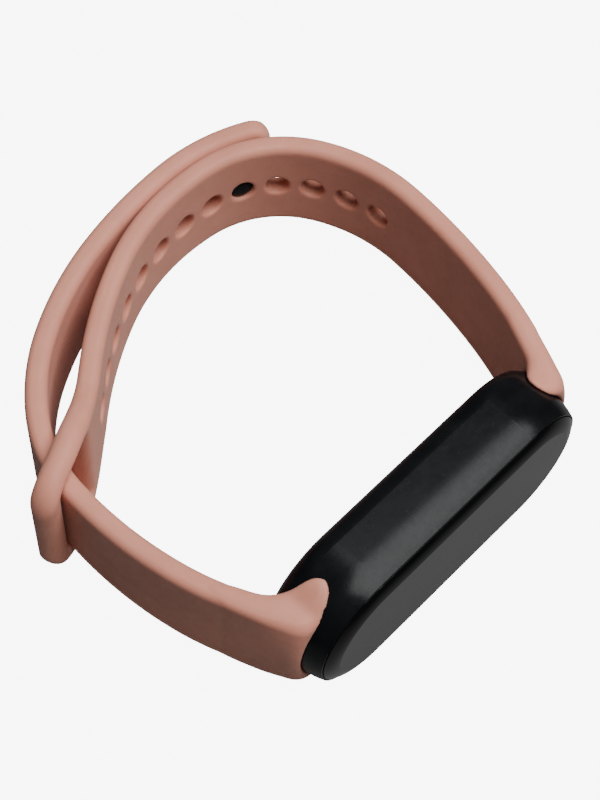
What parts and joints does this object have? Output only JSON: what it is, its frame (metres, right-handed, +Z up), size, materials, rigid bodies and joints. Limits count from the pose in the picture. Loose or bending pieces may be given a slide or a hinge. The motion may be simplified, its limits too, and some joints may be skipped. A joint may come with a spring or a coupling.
{
  "type": "fitness tracker band",
  "caption": "Fitness tracker with a soft strap, closed through its own loop and lying on its long edge; pill-shaped glass-fronted body held in the strap's two ends.",
  "frame": {"origin": "centre of the bounding box on the surface that the band lies on", "axes": "+X along the tracker, +Y from the screen towards the strap loop, +Z up across the band's width"},
  "size_m": [0.0658, 0.0624, 0.0207],
  "materials": {
    "silicone": "matte, dusty red-brown",
    "housing_black": "satin black",
    "cover_glass": "polished, black-backed",
    "stud_black": "satin black",
    "nylon": "moulded",
    "adhesive": "matte",
    "touch_sheet": "clear film",
    "display": "dark, unlit",
    "flex_amber": "satin",
    "frame_grey": "moulded",
    "cell_foil": "satin foil",
    "foam": "matte",
    "board_green": "solder mask",
    "chip_black": "matte",
    "shield_steel": "bright",
    "connector_body": "moulded",
    "motor_steel": "drawn",
    "rotor_weight": "sintered",
    "led_clear": "clear cap",
    "diode_dark": "polished",
    "gasket": "matte",
    "window_dark": "polished",
    "contact_gold": "plated"
  },
  "bodies": {
    "strap_loop": {"hole_strap": "silicone", "stud_strap": "silicone", "strap_lug_right": "nylon", "strap_lug_left": "nylon"},
    "tracker": {"body_housing": "housing_black", "front_glass": "cover_glass", "glass_adhesive": "adhesive", "touch_film": "touch_sheet", "display_panel": "display", "display_flex": "flex_amber", "mid_frame": "frame_grey", "battery": "cell_foil", "battery_cushion": "foam", "main_board": "board_green", "processor_chip": "chip_black", "memory_chip": "chip_black", "shield_can": "shield_steel", "board_connector": "connector_body", "motor_case": "motor_steel", "motor_plate": "motor_steel", "sensor_board": "board_green", "sensor_leds": "led_clear", "photodiode": "diode_dark", "window_gasket": "gasket", "sensor_window": "window_dark", "charge_contacts": "contact_gold", "antenna_strip": "contact_gold"},
    "motor_weight": {"motor_rotor": "rotor_weight"},
    "tail_middle": {"stud_strap_middle": "silicone"},
    "tail_end": {"stud_strap_end": "silicone", "clasp_stud": "stud_black", "clasp_cap": "stud_black"}
  },
  "joints": [
    {"name": "tracker_release", "type": "slide", "parent": "strap_loop", "child": "tracker", "axis": [0, -1, 0], "range_m": [0, 0.0055]},
    {"name": "motor_spin", "type": "hinge", "parent": "tracker", "child": "motor_weight", "pos_m": [0.0123, -0.02654, 0.01035], "axis": [0, 1, 0], "continuous": true},
    {"name": "tail_bend", "type": "hinge", "parent": "strap_loop", "child": "tail_middle", "pos_m": [-0.00511, 0.02732, 0.01035], "axis": [0, 0, 1], "range_deg": [0, 6]},
    {"name": "clasp_peel", "type": "hinge", "parent": "tail_middle", "child": "tail_end", "pos_m": [0.00965, 0.02975, 0.01035], "axis": [0, 0, 1], "range_deg": [0, 55], "stiffness_Nm_per_rad": 0.002}
  ],
  "couplings": [
    {"joint": "tail_bend", "follows": "clasp_peel", "ratio": 0.1}
  ]
}
